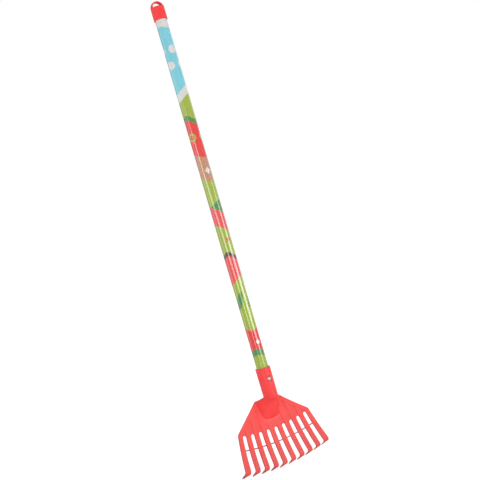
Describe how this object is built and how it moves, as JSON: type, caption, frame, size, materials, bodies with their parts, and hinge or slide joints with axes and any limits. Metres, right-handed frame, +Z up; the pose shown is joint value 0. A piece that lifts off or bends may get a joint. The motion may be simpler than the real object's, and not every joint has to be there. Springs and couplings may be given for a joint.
{
  "type": "sand rake",
  "caption": "Child's sand rake: moulded fan head with slotted plate and hooked tines on a film-covered straight tube handle, held by a screw, with a capped end and hang loop.",
  "frame": {"origin": "where a hook bears: the middle of the underside of the hang loop's arch, on the handle's axis", "axes": "+Z up the handle's axis from the tines to the hang loop, +X across the head and the hang loop, -Y out of the head's smooth front face with the screw, +Y the way the hooks point"},
  "size_m": [0.1646, 0.0323, 0.7801],
  "materials": {
    "tube_steel": "plain zinc-plated steel, hidden under the film",
    "printed_film": "glossy printed film shrunk on to the tube",
    "coral_plastic": "satin to glossy moulded plastic in coral red",
    "screw_steel": "bright plated steel"
  },
  "bodies": {
    "root": {"handle_tube": "tube_steel", "printed_sleeve": "printed_film", "rake_head": "coral_plastic", "head_screw": "screw_steel", "end_cap": "coral_plastic"}
  },
  "joints": []
}
